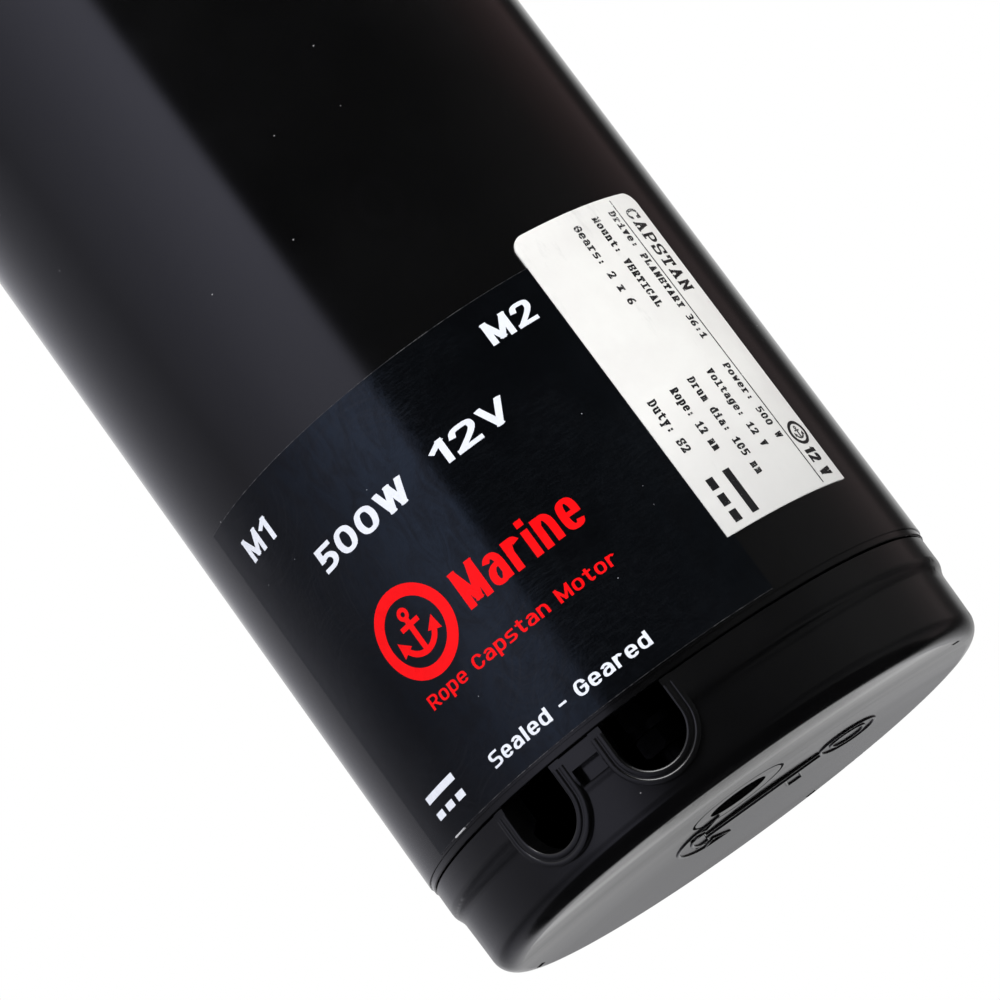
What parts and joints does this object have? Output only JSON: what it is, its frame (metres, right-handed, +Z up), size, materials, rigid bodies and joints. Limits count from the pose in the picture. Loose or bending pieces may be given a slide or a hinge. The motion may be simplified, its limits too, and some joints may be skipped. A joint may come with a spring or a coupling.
{
  "type": "vertical capstan windlass",
  "caption": "Vertical boat capstan: ribbed rope drum and base flange above the deck, planetary gearbox and round black motor with a ported end cap below.",
  "frame": {"origin": "centre of the deck face, under the gasket", "axes": "+Z up the drum axis, cable ports and labels towards -Y"},
  "size_m": [0.152, 0.152, 0.4077],
  "materials": {
    "black_paint": "gloss",
    "black_casting": "black paint, semi-gloss",
    "cap_plastic": "satin",
    "label_black": "gloss",
    "label_silver": "satin",
    "steel": "satin",
    "gear_steel": "satin",
    "polished_steel": "polished",
    "aluminium": "satin",
    "anodised": "satin anodised",
    "copper": "satin",
    "brass": "satin",
    "rubber": "matt",
    "resin": "matt",
    "carbon": "matt",
    "ferrite": "matt",
    "black_oxide": "black oxide, matt"
  },
  "bodies": {
    "housing": {"base_flange": "anodised", "deck_gasket": "rubber", "bearing_circlips": "gear_steel", "output_shaft_seals": "rubber", "output_bearing_outer_rings": "steel", "deck_studs": "steel", "stud_washers": "steel", "stud_spring_washers": "steel", "stud_nuts": "steel", "gearbox_housing": "black_casting", "ring_gear": "gear_steel", "ring_gear_screws": "gear_steel", "motor_casing": "black_paint", "drive_end_shield": "aluminium", "motor_shaft_seal": "rubber", "field_magnets": "ferrite", "motor_bearing_outer_rings": "steel", "rear_end_shield": "aluminium", "brush_plate": "resin", "brush_holders": "brass", "carbon_brushes": "carbon", "brush_springs": "steel", "brush_leads": "copper", "through_bolts": "black_oxide", "terminal_studs": "black_oxide", "terminal_insulators": "cap_plastic", "terminal_nuts": "black_oxide", "end_cap": "cap_plastic", "end_cap_screw": "steel", "motor_label": "label_black", "rating_label": "label_silver"},
    "armature": {"armature_shaft": "steel", "armature_core": "gear_steel", "armature_windings": "copper", "commutator_bars": "copper", "commutator_hub": "resin", "motor_bearing_inner_rings": "steel", "motor_pinion": "gear_steel"},
    "motor_balls": {"motor_bearing_balls": "polished_steel", "motor_bearing_cages": "steel"},
    "input_carrier_set": {"input_carrier": "gear_steel", "input_carrier_pins": "steel", "output_sun_gear": "gear_steel"},
    "drum_and_shaft": {"drum": "polished_steel", "drum_washer": "polished_steel", "drum_screw": "polished_steel", "shaft_keys": "steel", "output_shaft": "steel", "shaft_circlips": "gear_steel", "output_bearing_inner_rings": "steel", "output_carrier": "gear_steel", "output_carrier_pins": "steel"},
    "output_balls": {"output_bearing_balls": "polished_steel", "output_bearing_cages": "steel"},
    "input_planet_1": {"input_planet_1": "gear_steel"},
    "input_planet_2": {"input_planet_2": "gear_steel"},
    "input_planet_3": {"input_planet_3": "gear_steel"},
    "output_planet_1": {"output_planet_1": "gear_steel"},
    "output_planet_2": {"output_planet_2": "gear_steel"},
    "output_planet_3": {"output_planet_3": "gear_steel"}
  },
  "joints": [
    {"name": "armature_spin", "type": "hinge", "parent": "housing", "child": "armature", "pos_m": [0, 0, 0], "axis": [0, 0, 1], "continuous": true},
    {"name": "motor_balls_spin", "type": "hinge", "parent": "housing", "child": "motor_balls", "pos_m": [0, 0, 0], "axis": [0, 0, 1], "continuous": true},
    {"name": "input_carrier_spin", "type": "hinge", "parent": "housing", "child": "input_carrier_set", "pos_m": [0, 0, 0], "axis": [0, 0, 1], "continuous": true},
    {"name": "drum_spin", "type": "hinge", "parent": "housing", "child": "drum_and_shaft", "pos_m": [0, 0, 0], "axis": [0, 0, 1], "continuous": true},
    {"name": "output_balls_spin", "type": "hinge", "parent": "housing", "child": "output_balls", "pos_m": [0, 0, 0], "axis": [0, 0, 1], "continuous": true},
    {"name": "input_planet_1_spin", "type": "hinge", "parent": "input_carrier_set", "child": "input_planet_1", "pos_m": [0.027, 0, 0], "axis": [0, 0, 1], "continuous": true},
    {"name": "input_planet_2_spin", "type": "hinge", "parent": "input_carrier_set", "child": "input_planet_2", "pos_m": [-0.0135, 0.02338, 0], "axis": [0, 0, 1], "continuous": true},
    {"name": "input_planet_3_spin", "type": "hinge", "parent": "input_carrier_set", "child": "input_planet_3", "pos_m": [-0.0135, -0.02338, 0], "axis": [0, 0, 1], "continuous": true},
    {"name": "output_planet_1_spin", "type": "hinge", "parent": "drum_and_shaft", "child": "output_planet_1", "pos_m": [0.027, 0, 0], "axis": [0, 0, 1], "continuous": true},
    {"name": "output_planet_2_spin", "type": "hinge", "parent": "drum_and_shaft", "child": "output_planet_2", "pos_m": [-0.0135, 0.02338, 0], "axis": [0, 0, 1], "continuous": true},
    {"name": "output_planet_3_spin", "type": "hinge", "parent": "drum_and_shaft", "child": "output_planet_3", "pos_m": [-0.0135, -0.02338, 0], "axis": [0, 0, 1], "continuous": true}
  ],
  "couplings": [
    {"joint": "motor_balls_spin", "follows": "armature_spin", "ratio": 0.384},
    {"joint": "input_carrier_spin", "follows": "armature_spin", "ratio": 0.16667},
    {"joint": "drum_spin", "follows": "armature_spin", "ratio": 0.027778},
    {"joint": "output_balls_spin", "follows": "armature_spin", "ratio": 0.01088},
    {"joint": "input_planet_1_spin", "follows": "armature_spin", "ratio": -0.41667},
    {"joint": "input_planet_2_spin", "follows": "armature_spin", "ratio": -0.41667},
    {"joint": "input_planet_3_spin", "follows": "armature_spin", "ratio": -0.41667},
    {"joint": "output_planet_1_spin", "follows": "armature_spin", "ratio": -0.069444},
    {"joint": "output_planet_2_spin", "follows": "armature_spin", "ratio": -0.069444},
    {"joint": "output_planet_3_spin", "follows": "armature_spin", "ratio": -0.069444}
  ]
}
